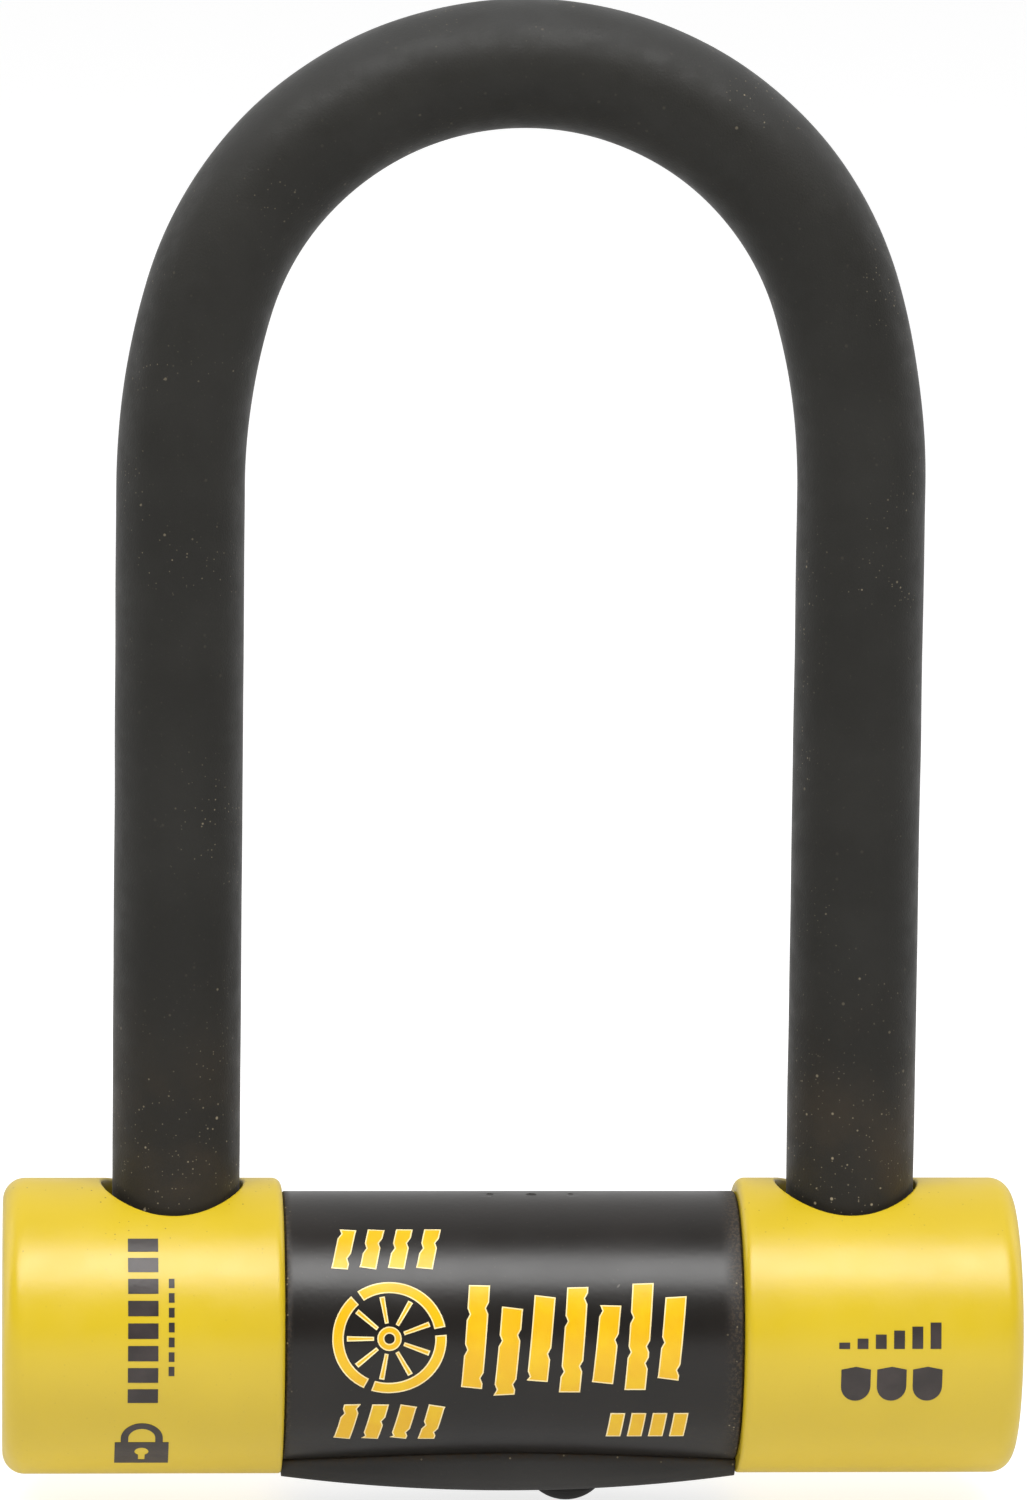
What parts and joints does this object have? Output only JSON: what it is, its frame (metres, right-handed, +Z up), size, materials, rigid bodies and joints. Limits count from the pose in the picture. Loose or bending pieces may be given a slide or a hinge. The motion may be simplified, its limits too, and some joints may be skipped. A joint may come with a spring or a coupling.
{
  "type": "bicycle u lock",
  "caption": "Bicycle U-lock: sleeved round shackle, cylindrical crossbar with moulded end caps, keyed core, locking bolts and a sliding dust cover.",
  "frame": {"origin": "middle of the lowest point, on the surface the upright lock stands on: midway along the crossbar", "axes": "+Z up along the shackle's legs towards the bow, +X along the crossbar, +Y from the printed front to the back"},
  "size_m": [0.159, 0.0464, 0.2374],
  "materials": {
    "vinyl": "matte",
    "barrel_plastic": "satin",
    "housing_plastic": "satin",
    "cover_plastic": "satin",
    "cap_plastic": "gloss",
    "blackened_steel": "matte",
    "machined_steel": "machined",
    "bolt_steel": "hardened, ground",
    "brass": "turned brass",
    "rubber": "matte"
  },
  "bodies": {
    "crossbar": {"crossbar_tube": "blackened_steel", "barrel_sleeve": "barrel_plastic", "left_end_cap": "cap_plastic", "right_end_cap": "cap_plastic", "left_end_plug": "machined_steel", "right_end_plug": "machined_steel", "left_foot_socket": "machined_steel", "right_foot_socket": "machined_steel", "socket_pins": "machined_steel", "left_bolt_guide": "machined_steel", "right_bolt_guide": "machined_steel", "cylinder_body": "brass", "cylinder_cross_pin": "machined_steel", "cylinder_seal": "rubber", "retaining_ring": "machined_steel", "lock_housing": "housing_plastic"},
    "shackle": {"shackle_bar": "blackened_steel", "shackle_sleeve": "vinyl"},
    "key_core": {"lock_core": "brass", "drill_plate": "blackened_steel", "detainer_discs": "brass", "spacer_washers": "machined_steel", "core_back_plate": "machined_steel", "sidebar": "machined_steel", "drive_cam": "machined_steel", "cam_screw": "blackened_steel"},
    "left_bolt": {"left_bolt": "bolt_steel", "left_follower_pin": "machined_steel"},
    "right_bolt": {"right_bolt": "bolt_steel", "right_follower_pin": "machined_steel"},
    "cover": {"dust_cover": "cover_plastic"}
  },
  "joints": [
    {"name": "shackle_lift", "type": "slide", "parent": "crossbar", "child": "shackle", "axis": [0, 0, 1], "range_m": [0, 0.09]},
    {"name": "key_turn", "type": "hinge", "parent": "crossbar", "child": "key_core", "pos_m": [0, 0, 0.016], "axis": [0, 0, 1], "range_deg": [0, 90]},
    {"name": "left_bolt_slide", "type": "slide", "parent": "crossbar", "child": "left_bolt", "axis": [-1, 0, 0], "range_m": [0, 0.006]},
    {"name": "right_bolt_slide", "type": "slide", "parent": "crossbar", "child": "right_bolt", "axis": [1, 0, 0], "range_m": [0, 0.006]},
    {"name": "dust_cover_slide", "type": "slide", "parent": "crossbar", "child": "cover", "axis": [1, 0, 0], "range_m": [0, 0.012]}
  ],
  "couplings": [
    {"joint": "left_bolt_slide", "follows": "key_turn", "m_per_rad": 0.0038197},
    {"joint": "right_bolt_slide", "follows": "key_turn", "m_per_rad": 0.0038197}
  ]
}
